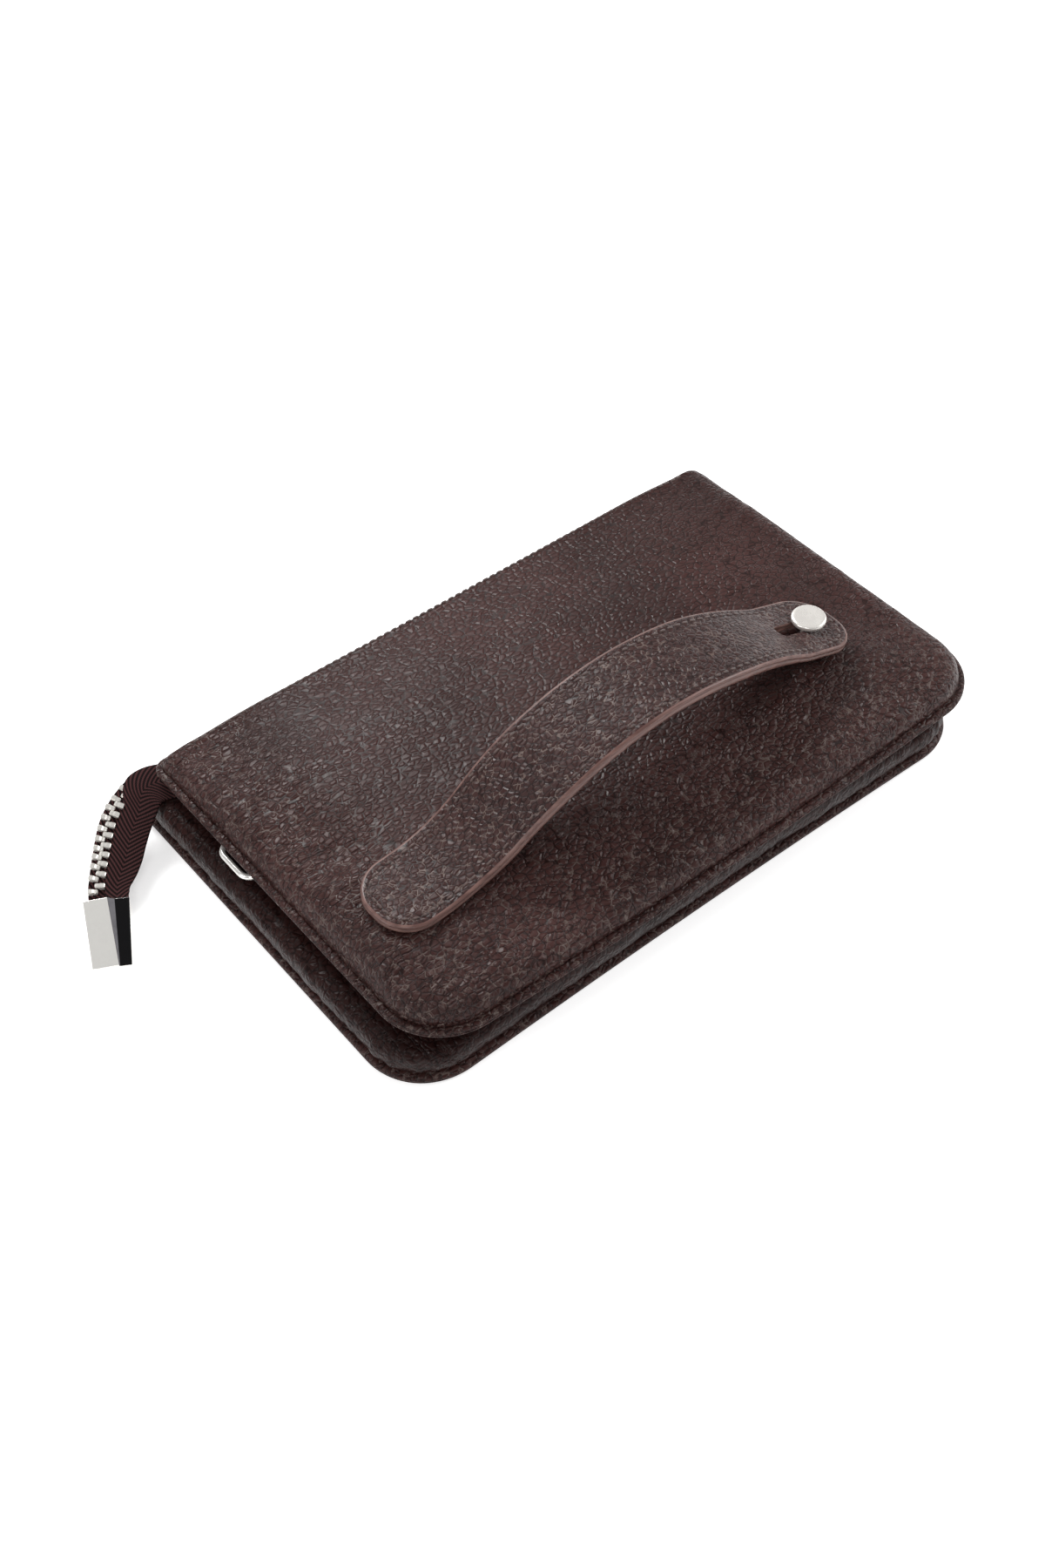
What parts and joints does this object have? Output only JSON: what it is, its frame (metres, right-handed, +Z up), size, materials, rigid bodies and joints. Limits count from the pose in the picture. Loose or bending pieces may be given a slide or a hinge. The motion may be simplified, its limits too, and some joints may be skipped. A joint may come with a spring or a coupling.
{
  "type": "zippered pouch",
  "caption": "Flat rectangular leather clutch with a zip along one long edge, folded gusset, D-ring, zip tail with metal cap and an arched hand strap on a stud.",
  "frame": {"origin": "centre of the back panel's outer face, which the pouch lies on", "axes": "+X along the pouch's length away from the zip tail, +Y towards the zipped edge, +Z up out of the front leaf"},
  "size_m": [0.2805, 0.1464, 0.0628],
  "materials": {
    "panel_leather": "pebbled, semi-matt",
    "gusset_leather": "smooth, creased, semi-gloss",
    "strap_leather": "pebbled, painted edge",
    "board": "pressed board, hidden",
    "foam": "closed-cell foam sheet, hidden",
    "lining": "plain woven, matt",
    "zip_tape": "herringbone woven, matt",
    "zip_metal": "nickel plated, bright",
    "chrome": "polished",
    "stud_metal": "fine brushed"
  },
  "bodies": {
    "back_leaf": {"back_panel": "panel_leather", "back_stiffener": "board", "back_lining": "lining", "gusset": "gusset_leather", "zip_tape_back": "zip_tape", "zip_teeth_back": "zip_metal", "zip_stop_back": "zip_metal"},
    "front_leaf": {"front_panel": "panel_leather", "front_padding": "foam", "front_stiffener": "board", "front_lining": "lining", "zip_tape_front": "zip_tape", "zip_teeth_front": "zip_metal", "zip_stop_front": "zip_metal", "strap_stud": "stud_metal", "stud_washer": "stud_metal", "stud_nut": "stud_metal", "strap_top_sewn_end": "strap_leather", "strap_under_sewn_end": "strap_leather"},
    "gusset_fold": {"d_ring_tab": "gusset_leather"},
    "d_ring": {"d_ring": "chrome"},
    "zip_slider": {"zip_slider_body": "zip_metal"},
    "zip_pull": {"zip_pull": "zip_metal"},
    "zip_tail": {"tail_tape_upper": "zip_tape", "tail_tape_lower": "zip_tape", "tail_teeth_upper": "zip_metal", "tail_teeth_lower": "zip_metal", "tail_cap": "chrome"},
    "strap_rear_arm": {"strap_top_rear_arm": "strap_leather", "strap_under_rear_arm": "strap_leather"},
    "strap_stud_arm": {"strap_top_stud_arm": "strap_leather", "strap_under_stud_arm": "strap_leather"}
  },
  "joints": [
    {"name": "leaf_open", "type": "hinge", "parent": "back_leaf", "child": "front_leaf", "pos_m": [0, -0.068, 0.014], "axis": [1, 0, 0], "range_deg": [0, 16], "deforming": ["gusset", "zip_tape_front", "zip_teeth_front"]},
    {"name": "fold_rise", "type": "hinge", "parent": "back_leaf", "child": "gusset_fold", "pos_m": [0, -0.068, 0.014], "axis": [1, 0, 0], "range_deg": [0, 8]},
    {"name": "d_ring_swing", "type": "hinge", "parent": "gusset_fold", "child": "d_ring", "pos_m": [-0.1035, 0.024, 0.0162], "axis": [0, 1, 0], "range_deg": [-10, 10]},
    {"name": "zip_slide", "type": "slide", "parent": "back_leaf", "child": "zip_slider", "axis": [-1, 0, 0], "range_m": [0, 0.176], "deforming": ["zip_teeth_back", "zip_tape_back"]},
    {"name": "pull_swing", "type": "hinge", "parent": "zip_slider", "child": "zip_pull", "pos_m": [0.0955, 0.07, 0.0115], "axis": [0, 0, -1], "range_deg": [0, 150]},
    {"name": "tail_swing", "type": "hinge", "parent": "back_leaf", "child": "zip_tail", "pos_m": [-0.112, 0.066, 0.0155], "axis": [0, 0, 1], "range_deg": [-45, 15]},
    {"name": "strap_lower", "type": "hinge", "parent": "front_leaf", "child": "strap_rear_arm", "pos_m": [-0.075, -0.0285, 0.03374], "axis": [0, 1, 0], "range_deg": [0, 10]},
    {"name": "strap_flex", "type": "hinge", "parent": "strap_rear_arm", "child": "strap_stud_arm", "pos_m": [0.00482, -0.0285, 0.06123], "axis": [0, 1, 0], "range_deg": [-20, 0]}
  ],
  "couplings": [
    {"joint": "fold_rise", "follows": "leaf_open", "ratio": 0.5},
    {"joint": "zip_slide", "follows": "leaf_open", "m_per_rad": 0.6298},
    {"joint": "strap_flex", "follows": "strap_lower", "ratio": -2}
  ]
}
